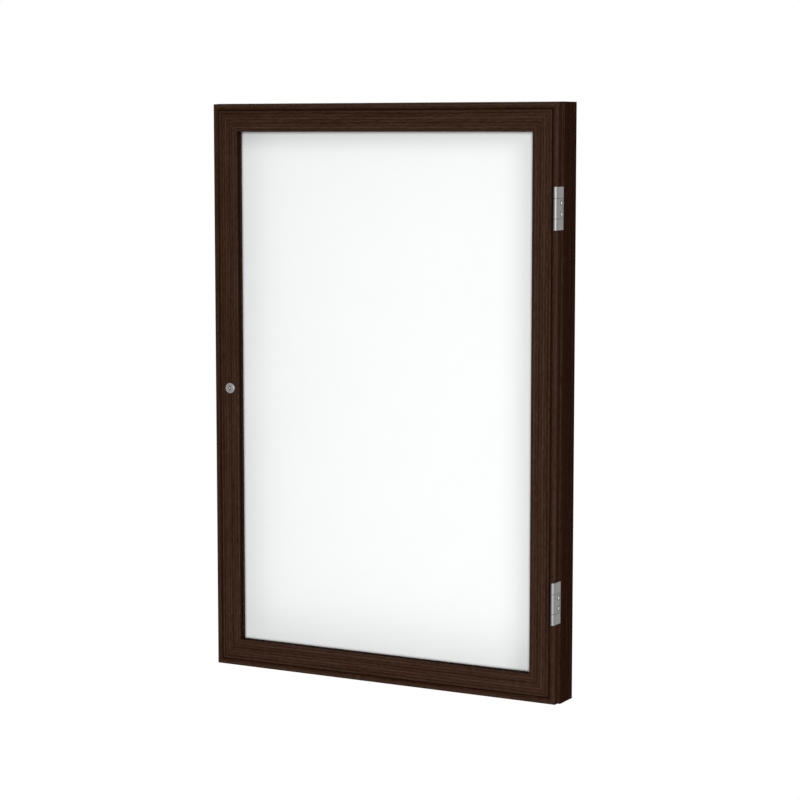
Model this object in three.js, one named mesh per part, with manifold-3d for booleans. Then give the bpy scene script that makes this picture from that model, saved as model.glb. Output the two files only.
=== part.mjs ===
import * as THREE from 'three';
import { mergeVertices } from 'three/addons/utils/BufferGeometryUtils.js';
import Module from 'manifold-3d';

// Lockable notice board for a wall: a shallow cabinet of mitred hollow extrusions that holds a white
// steel writing board, and a glazed door of mitred hollow extrusions on two side hinges, with a cam lock.
// Millimetres, +Z up. The origin is the centre of the face that lies on the wall, and the viewer is at -Y.

// Whole board
const doorWidth = 609.6;
const doorHeight = 912;
const overallDepth = 57.15;
const hingeStep = 3.4;
const cabinetMargin = 0.6;

// Door extrusion: hollow section, read from its outer edge inwards and from its rear face to the front
const doorDepth = 11;
const doorWall = 1.4;
const doorFrontWall = 2.1;
const doorEdgeRound = 1.4;
const doorInnerRound = 1.5;
const beadFall = 0.5;
const grooveInset = 9.4;
const grooveWidth = 1.7;
const grooveDepth = 1.5;
const channelReach = 6.3;
const rearFlangeDepth = 5;
const rearFlangeThickness = 1.6;

// Cabinet extrusion: outer wall, hollow front chamber, panel channel at the rear
const doorGap = 1.6;
const cabinetWall = 1.6;
const cabinetEdgeRound = 0.7;
const cabinetRearRound = 1.4;
const chamberWidth = 14;
const chamberDepth = 14;
const panelLipReach = 9;
const ledgeThickness = 1.5;

// Fits
const slideFit = 0.3;
const panelFit = 0.2;
const mitreFit = 0.12;
const cutOverrun = 1;
const arcSteps = 4;
const mergeTolerance = 0.0001;

// Writing board: enamelled steel face, light core, backing panel with a rebated edge
const steelThickness = 0.8;
const coreThickness = 6;
const backingThickness = 5;
const wallHoleRadius = 2.5;
const wallHoleInset = 28;

// Glazing and its channel gasket
const paneThickness = 3;
const gasketWall = 0.8;
const gasketFit = 0.1;
const gasketBite = 0.5;
const gasketShow = 0.5;

// Corner keys: angles staked inside the chambers across each mitre
const cabinetKeyReach = 45;
const doorKeyReach = 62;
const doorKeyWidth = 16;
const stakeHoleRadius = 2;
const stakeHoleShare = 0.8;

// Hinges: a large fixed leaf with a window, a small door leaf that nests in it, and a pin
const hingeHeight = 64.4;
const hingeInset = 157.6;
const hingeLeafThickness = 2.9;
const barrelRadius = 2.75;
const barrelStandOff = 10;
const hingePinRadius = 1.25;
const pinFit = 0.12;
const pinDome = 0.4;
const doorLeafHeight = 30;
const doorLeafOverDoor = 7.6;
const windowCornerRadius = 1;
const hingeFootMargin = 0.9;
const hingeFootThickness = 1.2;
const hingeFootRound = 0.7;

// Hinge screws
const leafScrewInset = 6.9;
const leafScrewDepth = 3.8;
const leafScrewHeadRadius = 3.3;
const leafScrewShankRadius = 1.6;
const leafScrewLength = 12;
const screwDome = 0.7;
const screwCrossWidth = 0.9;
const screwCrossDepth = 0.6;
const screwCrossShare = 0.62;
const footScrewInset = 11;
const footScrewHeadRadius = 2.9;
const footScrewShankRadius = 1.4;
const footScrewLength = 11;
const footScrewDome = 0.1;
const screwFit = 0.2;

// Cam lock at mid height of the lock stile
const nutClearance = 3;
const lockToChannel = 0.1;
const lockFlangeRadius = 8.55;
const lockFlangeThickness = 2.6;
const lockFlangeRound = 1.5;
const lockBodyRadius = 6.5;
const lockPlugRadius = 5.2;
const plugRecess = 0.4;
const plugFit = 0.15;
const keywayRadius = 2.75;
const keyPostRadius = 1.1;
const keywayDepth = 7;
const keySlotWidth = 1.3;
const keySlotRise = 4.4;
const keySlotDrop = 3.8;
const washerRadius = 9.6;
const washerThickness = 0.8;
const nutAcrossFlats = 17;
const nutThickness = 3;
const bodyPastNut = 0.8;
const seatGap = 0.15;
const tailSide = 5;
const camThickness = 2;
const camWidth = 9;
const camTipGap = 2.8;
const camScrewHeadRadius = 3.6;
const camScrewHeadThickness = 1.7;
const camScrewShankRadius = 1.4;
const camScrewLength = 5;

// Keeper: a slotted plate on the cabinet's lock side that the cam turns in behind
const keeperThickness = 1.2;
const keeperLand = 13.75;
const keeperCorner = 2;
const keeperSlotWidth = 4.8;
const keeperSlotMargin = 2;
const keeperScrewInset = 7;
const keeperScrewHeadRadius = 2.6;
const keeperScrewHeadThickness = 1.1;
const keeperScrewShankRadius = 1.3;
const keeperScrewLength = 7;

// Door buffers on the cabinet's lock side
const bufferRadius = 4;
const bufferThickness = 1.15;
const bufferInset = 76;
const bufferRound = 0.3;

// The lock stands clear of the keeper on the cabinet's lock side, and the door's face is as wide as the
// lock in its hollow and the glazing channel beside it need.
const nutCornerRadius = nutAcrossFlats / 2 / Math.cos(Math.PI / 6);
const keeperStack = panelFit * 2 + keeperThickness + keeperScrewHeadThickness;
const lockInset = chamberWidth - cabinetMargin + keeperStack + nutClearance + nutCornerRadius;
const channelFloor = lockInset + lockBodyRadius + screwFit + lockToChannel + doorWall;
const doorFaceWidth = channelFloor + channelReach;

// Derived sizes of the cabinet and the door
const cabinetWidth = doorWidth + cabinetMargin + hingeStep;
const cabinetHeight = doorHeight + cabinetMargin * 2;
const cabinetDepth = overallDepth - doorDepth - doorGap;
const doorCentreX = (cabinetMargin - hingeStep) / 2;
const doorRearY = -(cabinetDepth + doorGap);
const doorSideX = doorCentreX + doorWidth / 2;
const doorFrontY = -overallDepth;

const library = await Module();
library.setup();

// Makes a closed solid of a geometry, with the vertices that its faces share merged
function solidOf(geometry) {
  const bare = geometry.clone();
  bare.deleteAttribute('normal');
  bare.deleteAttribute('uv');
  const merged = mergeVertices(bare, mergeTolerance);
  return new library.Manifold(new library.Mesh({
    numProp: 3,
    vertProperties: new Float32Array(merged.attributes.position.array),
    triVerts: new Uint32Array(merged.index.array),
  }));
}

function geometryOf(solid) {
  const mesh = solid.getMesh();
  const geometry = new THREE.BufferGeometry();
  geometry.setAttribute('position', new THREE.BufferAttribute(new Float32Array(mesh.vertProperties), 3));
  geometry.setIndex(new THREE.BufferAttribute(new Uint32Array(mesh.triVerts), 1));
  geometry.computeVertexNormals();
  return geometry;
}

function cut(geometry, cutters) {
  const whole = solidOf(geometry);
  return geometryOf(cutters.reduce((solid, cutter) => solid.subtract(solidOf(cutter)), whole));
}

function join(geometries) {
  const [first, ...others] = geometries.map(solidOf);
  return geometryOf(others.reduce((solid, next) => solid.add(next), first));
}

// Adds a closed outline to a path. A corner is [x, y] or [x, y, radius], and a radius rounds it off.
function traceOutline(path, corners) {
  corners.forEach(([x, y, radius = 0], i) => {
    const corner = new THREE.Vector2(x, y);
    const before = new THREE.Vector2(...corners[(i + corners.length - 1) % corners.length]);
    const after = new THREE.Vector2(...corners[(i + 1) % corners.length]);
    const start = before.sub(corner).setLength(radius).add(corner);
    const end = after.sub(corner).setLength(radius).add(corner);
    if (i === 0) path.moveTo(start.x, start.y);
    else path.lineTo(start.x, start.y);
    if (radius > 0) path.quadraticCurveTo(x, y, end.x, end.y);
  });
  path.closePath();
  return path;
}

// Puts corners in clockwise or anticlockwise order
function wind(corners, clockwise) {
  const points = corners.map(([x, y]) => new THREE.Vector2(x, y));
  return THREE.ShapeUtils.isClockWise(points) === clockwise ? corners : [...corners].reverse();
}

function outline(corners, holes = []) {
  const shape = traceOutline(new THREE.Shape(), wind(corners, false));
  shape.holes = holes.map((hole) => traceOutline(new THREE.Path(), wind(hole, true)));
  return shape;
}

function roundHole(shape, x, y, radius) {
  shape.holes.push(new THREE.Path().absarc(x, y, radius, 0, Math.PI * 2, true));
}

function extrude(shape, depth, curveSegments = arcSteps) {
  return new THREE.ExtrudeGeometry(shape, { depth, bevelEnabled: false, curveSegments });
}

// A rectangle's corners from its low and high values
function rectangle(x0, x1, y0, y1, radius = 0) {
  return [[x0, y0, radius], [x1, y0, radius], [x1, y1, radius], [x0, y1, radius]];
}

// A bar along Z with both ends cut at 45 degrees: each point of the section ends as far short of the
// bar's full length as it lies inwards from the outer edge.
function mitredBar(shape, length) {
  const geometry = extrude(shape, 1);
  const position = geometry.attributes.position;
  for (let i = 0; i < position.count; i += 1) {
    const end = length / 2 - position.getX(i) - mitreFit;
    position.setZ(i, position.getZ(i) > 0 ? end : -end);
  }
  return geometry;
}

// A solid of revolution about Z. The profile is a list of [radius, height] that runs up the outside,
// and either starts and ends on the axis or closes on itself round a bore.
function turned(profile, segments = arcSteps * 6) {
  const closed = profile[0][0] > 0 ? [...profile, profile[0]] : profile;
  const points = closed.map(([radius, height]) => new THREE.Vector2(radius, height));
  return new THREE.LatheGeometry(points, segments).rotateX(Math.PI / 2);
}

// A round rod along Z from one height to another
function rod(radius, from, to, segments = arcSteps * 6) {
  const geometry = new THREE.CylinderGeometry(radius, radius, to - from, segments);
  return geometry.rotateX(Math.PI / 2).translate(0, 0, (from + to) / 2);
}

// A block from its low and high corners
function block(low, high) {
  const size = high.map((value, i) => value - low[i]);
  const centre = high.map((value, i) => (value + low[i]) / 2);
  return new THREE.BoxGeometry(...size).translate(...centre);
}

const finishes = {
  grain: new THREE.MeshStandardMaterial({ color: 0x3a261d, roughness: 0.55, metalness: 0.1 }),
  whiteSteel: new THREE.MeshStandardMaterial({ color: 0xf4f5f4, roughness: 0.25, metalness: 0.0 }),
  core: new THREE.MeshStandardMaterial({ color: 0x9a7f5c, roughness: 0.9, metalness: 0.0 }),
  backing: new THREE.MeshStandardMaterial({ color: 0x7a5b3c, roughness: 0.85, metalness: 0.0 }),
  glass: new THREE.MeshStandardMaterial({
    color: 0xe8f0ee, roughness: 0.05, metalness: 0.0, transparent: true, opacity: 0.2,
  }),
  vinyl: new THREE.MeshStandardMaterial({ color: 0x231813, roughness: 0.6, metalness: 0.0 }),
  rubber: new THREE.MeshStandardMaterial({ color: 0x2a2a2a, roughness: 0.8, metalness: 0.0 }),
  satinMetal: new THREE.MeshStandardMaterial({ color: 0xa8a8a6, roughness: 0.35, metalness: 1.0 }),
  zincSteel: new THREE.MeshStandardMaterial({ color: 0xb4b4ae, roughness: 0.4, metalness: 1.0 }),
  castZinc: new THREE.MeshStandardMaterial({ color: 0x8e8f90, roughness: 0.5, metalness: 0.8 }),
};

const noticeBoard = new THREE.Group();
noticeBoard.name = 'lockable_notice_board';

function piece(name, geometry, finish, parent) {
  const mesh = new THREE.Mesh(geometry, finishes[finish]);
  mesh.name = name;
  parent.add(mesh);
  return mesh;
}

// Four sides of a mitred frame: the name, the quarter turns about Y that bring the bar there, and
// which of the frame's two sizes the bar runs along.
function frameSides(width, height) {
  return [
    { side: 'lock', turns: 0, x: -width / 2, z: 0, length: height },
    { side: 'top', turns: 1, x: 0, z: height / 2, length: width },
    { side: 'hinge', turns: 2, x: width / 2, z: 0, length: height },
    { side: 'bottom', turns: 3, x: 0, z: -height / 2, length: width },
  ];
}

function placeOnSide(mesh, { turns, x, z }) {
  mesh.rotation.y = turns * Math.PI / 2;
  mesh.position.set(x, 0, z);
}

const barNames = { lock: 'lock_stile', top: 'top_rail', hinge: 'hinge_stile', bottom: 'bottom_rail' };
const levels = ['upper', 'lower'];
const cornerNames = ['lock_bottom', 'lock_top', 'hinge_top', 'hinge_bottom'];

// Places of the lock, the keeper and the hinges that more than one piece follows
const lockX = doorCentreX - doorWidth / 2 + lockInset;
const cabinetLockX = -cabinetWidth / 2;
const nutRearY = doorRearY + seatGap * 2 + washerThickness + nutThickness;
const bodyRearY = nutRearY + bodyPastNut;
const camFrontY = bodyRearY + seatGap;
const camRearY = camFrontY + camThickness;
const camReach = lockInset + cabinetMargin - cabinetWall - camTipGap;
const keeperSlotY = (camFrontY + camRearY) / 2;
const keeperSlotTop = camWidth / 2 + keeperSlotMargin;
const keeperSlotBottom = -camReach - keeperSlotMargin;
const keeperCentreZ = (keeperSlotTop + keeperSlotBottom) / 2;
const keeperHeight = keeperSlotTop - keeperSlotBottom + keeperLand * 2;
const keeperWidth = chamberDepth - cabinetWall;
const keeperScrewZ = keeperHeight / 2 - keeperScrewInset;
const keeperCentreY = -cabinetDepth + chamberDepth / 2;
const leafOuterX = doorSideX + slideFit + hingeLeafThickness;
const barrelX = leafOuterX - barrelRadius;
const barrelY = doorFrontY - barrelStandOff;
const hingeZ = [doorHeight / 2 - hingeInset, hingeInset - doorHeight / 2];
const leafScrewZ = doorLeafHeight / 2 - leafScrewInset;
const footScrewZ = hingeHeight / 2 - footScrewInset;
const leafScrewY = doorFrontY + leafScrewDepth;
const doorLeafEnd = barrelStandOff + doorLeafOverDoor;
const footInnerX = cabinetWidth / 2 - chamberWidth + hingeFootMargin;
const footScrewX = (doorSideX + slideFit + footInnerX) / 2;
const footRearY = -cabinetDepth - panelFit;

// Cabinet extrusions

// Rear lip, panel channel, ledge and hollow front chamber of the cabinet's section. The section is
// drawn with x inwards from the outer edge and y forwards from the wall as a negative number.
const stackDepth = backingThickness + coreThickness + steelThickness + panelFit * 3;
const ledgeFrontDepth = stackDepth + ledgeThickness;
const cabinetSection = outline(
  [
    [0, 0, cabinetRearRound],
    [panelLipReach, 0],
    [panelLipReach, -cabinetWall],
    [cabinetWall, -cabinetWall],
    [cabinetWall, -stackDepth],
    [panelLipReach, -stackDepth],
    [panelLipReach, -ledgeFrontDepth],
    [cabinetWall, -ledgeFrontDepth],
    [cabinetWall, chamberDepth - cabinetDepth],
    [chamberWidth, chamberDepth - cabinetDepth],
    [chamberWidth, -cabinetDepth, cabinetEdgeRound],
    [0, -cabinetDepth, cabinetEdgeRound],
  ],
  [rectangle(
    cabinetWall,
    chamberWidth - cabinetWall,
    chamberDepth - cabinetWall - cabinetDepth,
    cabinetWall - cabinetDepth,
  )],
);

// Holes through the lock stile's chamber wall: the slot that the cam turns into, and the keeper's screws
function lockStileCutters() {
  const across = [chamberWidth - cabinetWall - cutOverrun, chamberWidth + cutOverrun];
  const slot = block(
    [across[0], keeperSlotY - keeperSlotWidth / 2, keeperSlotBottom],
    [across[1], keeperSlotY + keeperSlotWidth / 2, keeperSlotTop],
  );
  const screwHoles = [keeperScrewZ, -keeperScrewZ].map((z) => (
    rod(keeperScrewShankRadius + screwFit, ...across)
      .rotateY(Math.PI / 2)
      .translate(0, keeperCentreY, keeperCentreZ + z)
  ));
  return [slot, ...screwHoles];
}

// Holes through the front wall of the hinge stile for the screws of the hinge feet. The stile's own
// frame is turned half way round, so its x runs inwards from the hinge side and its z runs down.
function hingeStileCutters() {
  const inset = cabinetWidth / 2 - footScrewX;
  const holeRadius = footScrewShankRadius + screwFit;
  return hingeZ.flatMap((z) => [1, -1].map((sign) => (
    rod(holeRadius, -cutOverrun, cabinetWall + cutOverrun)
      .rotateX(-Math.PI / 2)
      .translate(inset, -cabinetDepth, z + sign * footScrewZ)
  )));
}

function buildCabinetBars(parent) {
  const cutters = { lock: lockStileCutters(), hinge: hingeStileCutters() };
  frameSides(cabinetWidth, cabinetHeight).forEach((place) => {
    const bar = mitredBar(cabinetSection, place.length);
    const geometry = cutters[place.side] ? cut(bar, cutters[place.side]) : bar;
    placeOnSide(piece(`cabinet_${barNames[place.side]}`, geometry, 'grain', parent), place);
  });
}

// An angle with two staking holes, lying in the plane of the frame with its outer corner at zero and
// its legs along +X and +Z, from a rear face at y down to the front
function cornerKey(reach, width, thickness, holeRadius) {
  const shape = outline([[0, 0], [reach, 0], [reach, width], [width, width], [width, reach], [0, reach]]);
  const along = reach * stakeHoleShare;
  roundHole(shape, along, width / 2, holeRadius);
  roundHole(shape, width / 2, along, holeRadius);
  return extrude(shape, thickness, arcSteps * 2).rotateX(Math.PI / 2);
}

// Sets one key in each corner of a frame. inset is how far the key's outer corner lies in from the
// frame's, and rearY is its rear face.
function buildKeys(prefix, parent, [width, height], inset, rearY, geometry) {
  cornerNames.forEach((corner, i) => {
    const key = piece(`${prefix}_${corner}`, geometry, 'zincSteel', parent);
    const sideX = corner.startsWith('lock') ? -1 : 1;
    const sideZ = corner.endsWith('top') ? 1 : -1;
    key.rotation.y = i * Math.PI / 2;
    key.position.set(sideX * (width / 2 - inset), rearY, sideZ * (height / 2 - inset));
  });
}

// Writing board: three sheets in the cabinet's channel, with four holes for the wall screws

// A panel in the plane of the wall, from a rear depth to a front depth, that ends short of the
// cabinet's outer edge by inset on every side
function panel(inset, rearDepth, frontDepth) {
  const halfWidth = cabinetWidth / 2 - inset;
  const halfHeight = cabinetHeight / 2 - inset;
  const shape = outline(rectangle(-halfWidth, halfWidth, -halfHeight, halfHeight));
  const holeX = cabinetWidth / 2 - wallHoleInset;
  const holeZ = cabinetHeight / 2 - wallHoleInset;
  [[1, 1], [1, -1], [-1, -1], [-1, 1]].forEach(([x, z]) => {
    roundHole(shape, x * holeX, z * holeZ, wallHoleRadius);
  });
  return extrude(shape, frontDepth - rearDepth, arcSteps * 2)
    .rotateX(Math.PI / 2)
    .translate(0, -rearDepth, 0);
}

function buildWritingBoard(parent) {
  const channelInset = cabinetWall + slideFit;
  const steelRear = stackDepth - panelFit - steelThickness;
  const coreRear = steelRear - panelFit - coreThickness;
  const tongueRear = cabinetWall + panelFit;
  const tongue = panel(channelInset, tongueRear, backingThickness);
  const body = panel(panelLipReach + slideFit, 0, backingThickness);
  const sheet = panel(channelInset, steelRear, steelRear + steelThickness);
  const core = panel(channelInset, coreRear, coreRear + coreThickness);
  piece('white_steel_sheet', sheet, 'whiteSteel', parent);
  piece('board_core', core, 'core', parent);
  piece('backing_panel', join([tongue, body]), 'backing', parent);
}

// Keeper plate, its two screws and the two door buffers, all on the cabinet's lock side

function buildKeeper(parent) {
  const wallX = cabinetLockX + chamberWidth;
  const halfWidth = keeperWidth / 2;
  const plate = outline(
    rectangle(-halfWidth, halfWidth, -keeperHeight / 2, keeperHeight / 2, keeperCorner),
    [rectangle(
      keeperSlotY - keeperSlotWidth / 2 - keeperCentreY,
      keeperSlotY + keeperSlotWidth / 2 - keeperCentreY,
      keeperSlotBottom - keeperCentreZ,
      keeperSlotTop - keeperCentreZ,
    )],
  );
  roundHole(plate, 0, keeperScrewZ, keeperScrewShankRadius + screwFit);
  roundHole(plate, 0, -keeperScrewZ, keeperScrewShankRadius + screwFit);
  const geometry = extrude(plate, keeperThickness).rotateX(Math.PI / 2).rotateZ(Math.PI / 2);
  const mesh = piece('keeper_plate', geometry, 'zincSteel', parent);
  mesh.position.set(wallX + panelFit, keeperCentreY, keeperCentreZ);
  const screw = panHeadScrew(
    keeperScrewHeadRadius, keeperScrewHeadThickness, keeperScrewShankRadius, keeperScrewLength,
  ).rotateY(Math.PI / 2);
  [keeperScrewZ, -keeperScrewZ].forEach((z, i) => {
    const fixing = piece(`keeper_screw_${levels[i]}`, screw, 'zincSteel', parent);
    fixing.position.set(wallX + panelFit * 2 + keeperThickness, keeperCentreY, keeperCentreZ + z);
  });
}

function buildBuffers(parent) {
  const disc = turned([
    [0, 0],
    [bufferRadius, 0],
    [bufferRadius, bufferThickness - bufferRound],
    [bufferRadius - bufferRound, bufferThickness],
    [0, bufferThickness],
  ], arcSteps * 6).rotateX(Math.PI / 2);
  const bufferZ = doorHeight / 2 - bufferInset;
  [bufferZ, -bufferZ].forEach((z, i) => {
    const buffer = piece(`door_buffer_${levels[i]}`, disc, 'rubber', parent);
    buffer.position.set(cabinetLockX + chamberWidth / 2, -cabinetDepth - panelFit, z);
  });
}

// A screw along Z: its head stands up from z = 0, with a cross recess, and its shank goes down
function crossRecess(radius, top) {
  const reach = radius * screwCrossShare;
  const half = screwCrossWidth / 2;
  const floor = top - screwCrossDepth;
  return [
    block([-reach, -half, floor], [reach, half, top + cutOverrun]),
    block([-half, -reach, floor], [half, reach, top + cutOverrun]),
  ];
}

function panHeadScrew(headRadius, headThickness, shankRadius, length) {
  const body = turned([
    [0, -length],
    [shankRadius / 2, -length],
    [shankRadius, -length + shankRadius],
    [shankRadius, 0],
    [headRadius, 0],
    [headRadius, headThickness / 2],
    [headRadius * Math.cos(Math.PI / 6), headThickness],
    [0, headThickness],
  ], arcSteps * 6);
  return cut(body, crossRecess(headRadius, headThickness));
}

// The head of a countersunk screw lies in a 45 degree cone below z = 0, under a low dome
function countersunkScrew(headRadius, dome, shankRadius, length) {
  const domeRadiusShare = 0.6;
  const domeHeightShare = 0.75;
  const body = turned([
    [0, -length],
    [shankRadius / 2, -length],
    [shankRadius, -length + shankRadius],
    [shankRadius, shankRadius - headRadius],
    [headRadius, 0],
    [headRadius * domeRadiusShare, dome * domeHeightShare],
    [0, dome],
  ], arcSteps * 6);
  return cut(body, crossRecess(headRadius, dome * domeHeightShare));
}

// A countersunk hole's cutter, wider than its screw by the fit all round
function countersink(headRadius, shankRadius, depth) {
  const radius = shankRadius + screwFit;
  const wide = headRadius + screwFit;
  return turned([
    [0, -depth],
    [radius, -depth],
    [radius, radius - wide],
    [wide, 0],
    [wide + cutOverrun, cutOverrun],
    [0, cutOverrun],
  ], arcSteps * 6);
}

// Hinges

// The section of a leaf's plate seen from above, with the barrel's axis at zero. The plate's outer
// face is tangent to the barrel, and it runs back to plateEnd, with a foot turned in there or without.
function leafPlate(plateEnd, height, withFoot) {
  const inner = barrelRadius - hingeLeafThickness;
  const footEnd = footInnerX - barrelX;
  const footFront = plateEnd - hingeFootThickness;
  const rear = withFoot
    ? [[footEnd, plateEnd], [footEnd, footFront], [inner, footFront]]
    : [[inner, plateEnd]];
  const section = outline([
    [inner, 0],
    [barrelRadius, 0],
    [barrelRadius, plateEnd, hingeFootRound],
    ...rear,
  ]);
  return extrude(section, height).translate(0, 0, -height / 2);
}

function pinBore(height) {
  return rod(hingePinRadius + pinFit, -height / 2 - cutOverrun, height / 2 + cutOverrun);
}

// The fixed leaf: two knuckles, a plate with a window that is open to the barrel, and a foot that
// lies on the cabinet's front face under the closed door.
function fixedLeaf() {
  const half = hingeHeight / 2;
  const windowHalf = doorLeafHeight / 2 + slideFit;
  const windowEnd = Math.hypot(doorLeafEnd, barrelRadius) + panelFit;
  const plateEnd = footRearY - barrelY;
  const plate = leafPlate(plateEnd, hingeHeight, true);
  const knuckles = rod(barrelRadius, -half, half, arcSteps * 8);
  const windowCorners = [
    [-barrelRadius - cutOverrun, -windowHalf],
    [windowEnd, -windowHalf, windowCornerRadius],
    [windowEnd, windowHalf, windowCornerRadius],
    [-barrelRadius - cutOverrun, windowHalf],
  ];
  const window = extrude(outline(windowCorners), (barrelRadius + cutOverrun) * 2)
    .rotateX(Math.PI / 2)
    .rotateZ(Math.PI / 2)
    .translate(-barrelRadius - cutOverrun, 0, 0);
  const seats = [1, -1].map((sign) => (
    countersink(footScrewHeadRadius, footScrewShankRadius, footScrewLength)
      .rotateX(Math.PI / 2)
      .translate(footScrewX - barrelX, plateEnd - hingeFootThickness, sign * footScrewZ)
  ));
  return cut(join([plate, knuckles]), [window, pinBore(hingeHeight), ...seats]);
}

// The door leaf: one long knuckle between the other two, and a plate with two countersunk holes
function doorLeaf() {
  const plate = leafPlate(doorLeafEnd, doorLeafHeight, false);
  const knuckleSolid = rod(barrelRadius, -doorLeafHeight / 2, doorLeafHeight / 2, arcSteps * 8);
  const seats = [1, -1].map((sign) => (
    countersink(leafScrewHeadRadius, leafScrewShankRadius, leafScrewLength)
      .rotateY(Math.PI / 2)
      .translate(barrelRadius, leafScrewY - barrelY, sign * leafScrewZ)
  ));
  return cut(join([plate, knuckleSolid]), [pinBore(doorLeafHeight), ...seats]);
}

function hingePin() {
  const half = hingeHeight / 2;
  return turned([
    [0, -half - pinDome],
    [hingePinRadius / 2, -half - pinDome],
    [hingePinRadius, -half],
    [hingePinRadius, half],
    [hingePinRadius / 2, half + pinDome],
    [0, half + pinDome],
  ]);
}

function buildHinges(cabinet, door) {
  const fixed = fixedLeaf();
  const moving = doorLeaf();
  const pin = hingePin();
  const footScrew = countersunkScrew(
    footScrewHeadRadius, footScrewDome, footScrewShankRadius, footScrewLength,
  ).rotateX(Math.PI / 2);
  const leafScrew = countersunkScrew(
    leafScrewHeadRadius, screwDome, leafScrewShankRadius, leafScrewLength,
  ).rotateY(Math.PI / 2);
  hingeZ.forEach((z, i) => {
    const hinge = `${levels[i]}_hinge`;
    piece(`${hinge}_fixed_leaf`, fixed, 'satinMetal', cabinet).position.set(barrelX, barrelY, z);
    piece(`${hinge}_pin`, pin, 'zincSteel', cabinet).position.set(barrelX, barrelY, z);
    piece(`${hinge}_door_leaf`, moving, 'satinMetal', door)
      .position.set(barrelX - doorCentreX, barrelY - doorRearY, z);
    [1, -1].forEach((sign, k) => {
      piece(`${hinge}_foot_screw_${levels[k]}`, footScrew, 'zincSteel', cabinet)
        .position.set(footScrewX, footRearY - hingeFootThickness, z + sign * footScrewZ);
      piece(`${hinge}_leaf_screw_${levels[k]}`, leafScrew, 'zincSteel', door)
        .position.set(leafOuterX - doorCentreX, leafScrewY - doorRearY, z + sign * leafScrewZ);
    });
  });
}

// Door extrusions: a hollow section with a groove in its face, a channel for the glazing, and a flange
// round the window at the rear that stiffens it

// The strip outside the groove is a shallow bead: an arc whose crown is level with the face and whose
// edges fall back from it by beadFall. Its outer edge is rounded off.
const beadHalf = grooveInset / 2;
const beadArcRadius = (beadHalf ** 2 + beadFall ** 2) / (beadFall * 2);
const bead = Array.from({ length: arcSteps + 1 }, (_, i) => {
  const x = grooveInset * (1 - i / arcSteps);
  const fall = beadArcRadius - Math.sqrt(beadArcRadius ** 2 - (x - beadHalf) ** 2);
  return [x, fall - doorDepth, i === arcSteps ? doorEdgeRound : 0];
});

const channelWidth = paneThickness + gasketWall * 2 + gasketFit * 4;
const channelFront = doorWall + channelWidth;
const doorSection = outline(
  [
    [0, 0],
    [doorFaceWidth - rearFlangeThickness, 0],
    [doorFaceWidth - rearFlangeThickness, rearFlangeDepth],
    [doorFaceWidth, rearFlangeDepth],
    [doorFaceWidth, -doorWall],
    [channelFloor, -doorWall],
    [channelFloor, -channelFront],
    [doorFaceWidth, -channelFront],
    [doorFaceWidth, -doorDepth, doorInnerRound],
    [grooveInset + grooveWidth, -doorDepth],
    [grooveInset + grooveWidth, grooveDepth - doorDepth],
    [grooveInset, grooveDepth - doorDepth],
    ...bead,
  ],
  [[
    [doorWall, -doorWall],
    [channelFloor - doorWall, -doorWall],
    [channelFloor - doorWall, -channelFront - doorWall],
    [doorFaceWidth - doorWall, -channelFront - doorWall],
    [doorFaceWidth - doorWall, doorFrontWall - doorDepth],
    [doorWall, doorFrontWall - doorDepth],
  ]],
);

function buildDoorBars(parent) {
  const lockHole = rod(lockBodyRadius + screwFit, -cutOverrun, doorDepth + cutOverrun, arcSteps * 8)
    .rotateX(Math.PI / 2)
    .translate(lockInset, 0, 0);
  const screwHoles = hingeZ.flatMap((z) => [1, -1].map((sign) => (
    rod(leafScrewShankRadius + screwFit, -cutOverrun, doorWall + cutOverrun)
      .rotateY(Math.PI / 2)
      .translate(0, leafScrewDepth - doorDepth, z + sign * leafScrewZ)
  )));
  const cutters = { lock: [lockHole], hinge: screwHoles };
  frameSides(doorWidth, doorHeight).forEach((place) => {
    const bar = mitredBar(doorSection, place.length);
    const geometry = cutters[place.side] ? cut(bar, cutters[place.side]) : bar;
    placeOnSide(piece(`door_${barNames[place.side]}`, geometry, 'grain', parent), place);
  });
}

// Glazing: a clear pane whose edges stand in a U-shaped gasket inside the channel

function buildGlazing(parent) {
  const paneInset = channelFloor + gasketFit + gasketWall + gasketBite;
  const halfWidth = doorWidth / 2 - paneInset;
  const halfHeight = doorHeight / 2 - paneInset;
  const paneShape = outline(rectangle(-halfWidth, halfWidth, -halfHeight, halfHeight));
  const paneGeometry = extrude(paneShape, paneThickness).rotateX(Math.PI / 2);
  const pane = piece('glazing_pane', paneGeometry, 'glass', parent);
  pane.position.y = -(doorWall + gasketWall + gasketFit * 2);

  const floor = channelFloor + gasketFit;
  const lip = doorFaceWidth + gasketShow;
  const rear = -doorWall - gasketFit;
  const front = gasketFit - channelFront;
  const gasketSection = outline([
    [floor, rear],
    [lip, rear],
    [lip, rear - gasketWall],
    [floor + gasketWall, rear - gasketWall],
    [floor + gasketWall, front + gasketWall],
    [lip, front + gasketWall],
    [lip, front],
    [floor, front],
  ]);
  frameSides(doorWidth, doorHeight).forEach((place) => {
    const strip = mitredBar(gasketSection, place.length);
    placeOnSide(piece(`glazing_gasket_${place.side}`, strip, 'vinyl', parent), place);
  });
}

// Cam lock. Its pieces are drawn along Z, with zero at the door's rear face and the front face at
// doorDepth, and are then turned so that Z points to the viewer.

const lockRear = doorRearY - bodyRearY;
const flangeBack = doorDepth + seatGap;
const flangeFront = flangeBack + lockFlangeThickness;
const plugFront = flangeFront - plugRecess;

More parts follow.
